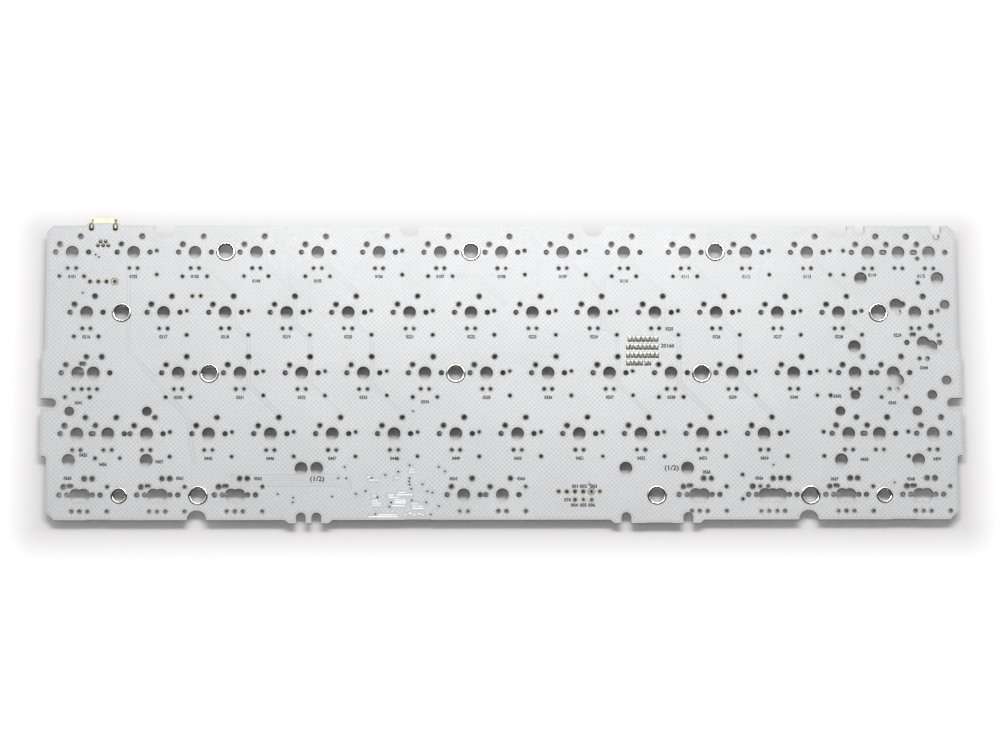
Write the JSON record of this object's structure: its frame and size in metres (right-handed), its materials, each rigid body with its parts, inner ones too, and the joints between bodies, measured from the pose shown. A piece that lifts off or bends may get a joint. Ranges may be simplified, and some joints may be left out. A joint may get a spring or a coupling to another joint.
{
  "type": "keyboard circuit board",
  "caption": "Bare white keyboard circuit board: slotted, notched outline, rows of switch, lamp and diode holes, tinned mount holes, USB socket and chips underneath.",
  "frame": {"origin": "on the plane the USB shell stands on, below the middle of the whole outline", "axes": "+X along the key rows to the right, +Y to the edge with the USB socket, +Z out of the face the switches sit on"},
  "size_m": [0.285, 0.0962, 0.006],
  "materials": {
    "laminate": "white gloss solder mask over glass-epoxy laminate",
    "tin": "hot-air levelled tin",
    "gold": "gold flash over nickel",
    "shell": "plated steel",
    "insert": "black moulded",
    "contact": "gold flash",
    "solder": "solder",
    "package": "black moulded epoxy",
    "lead": "tinned",
    "ceramic": "tan ceramic",
    "tray": "pale ceramic",
    "lid": "plated lid",
    "resistor": "black glaze",
    "fuse": "green laminate"
  },
  "bodies": {
    "root": {"board": "laminate", "mount_rings": "tin", "switch_lands": "tin", "led_lands": "tin", "diode_lands": "tin", "header_lands": "gold", "usb_shell": "shell", "usb_insert": "insert", "usb_contacts": "contact", "usb_solder": "solder", "mcu_body": "package", "mcu_leads": "lead", "crystal_tray": "tray", "crystal_lid": "lid", "capacitors": "ceramic", "resistors": "resistor", "chip_ends": "lead", "fuse": "fuse", "fuse_ends": "lead"}
  },
  "joints": []
}
